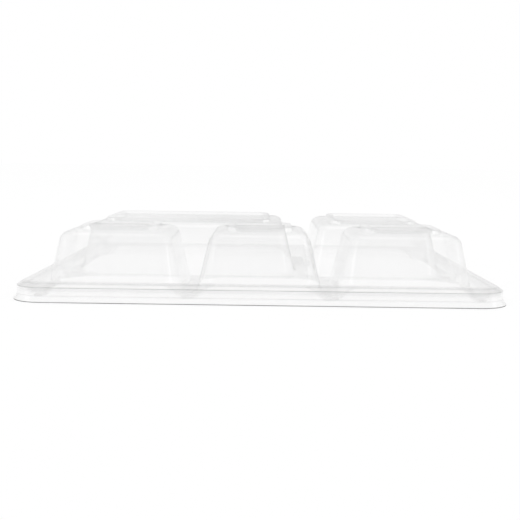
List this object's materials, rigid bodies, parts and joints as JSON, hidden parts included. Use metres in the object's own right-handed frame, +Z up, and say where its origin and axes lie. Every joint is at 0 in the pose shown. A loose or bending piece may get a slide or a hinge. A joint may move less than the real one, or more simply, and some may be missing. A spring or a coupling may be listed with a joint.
{
  "type": "humidity dome tray",
  "caption": "Clear formed cover with domes over separate compartments and a push-fit rim, lifting off a shallow clear tray.",
  "frame": {"origin": "centre of the footprint, on the ground under the tray", "axes": "+X right along the long side, +Y towards the back row of domes, +Z up"},
  "size_m": [0.28, 0.22, 0.0404],
  "materials": {
    "cover_sheet": "clear thermoformed sheet, gloss",
    "tray_sheet": "clear thermoformed sheet, gloss"
  },
  "bodies": {
    "tray": {"base_tray": "tray_sheet"},
    "cover": {"dome_cover": "cover_sheet"}
  },
  "joints": [
    {"name": "cover_lift", "type": "slide", "parent": "tray", "child": "cover", "axis": [0, 0, 1], "range_m": [0, 0.08]}
  ]
}
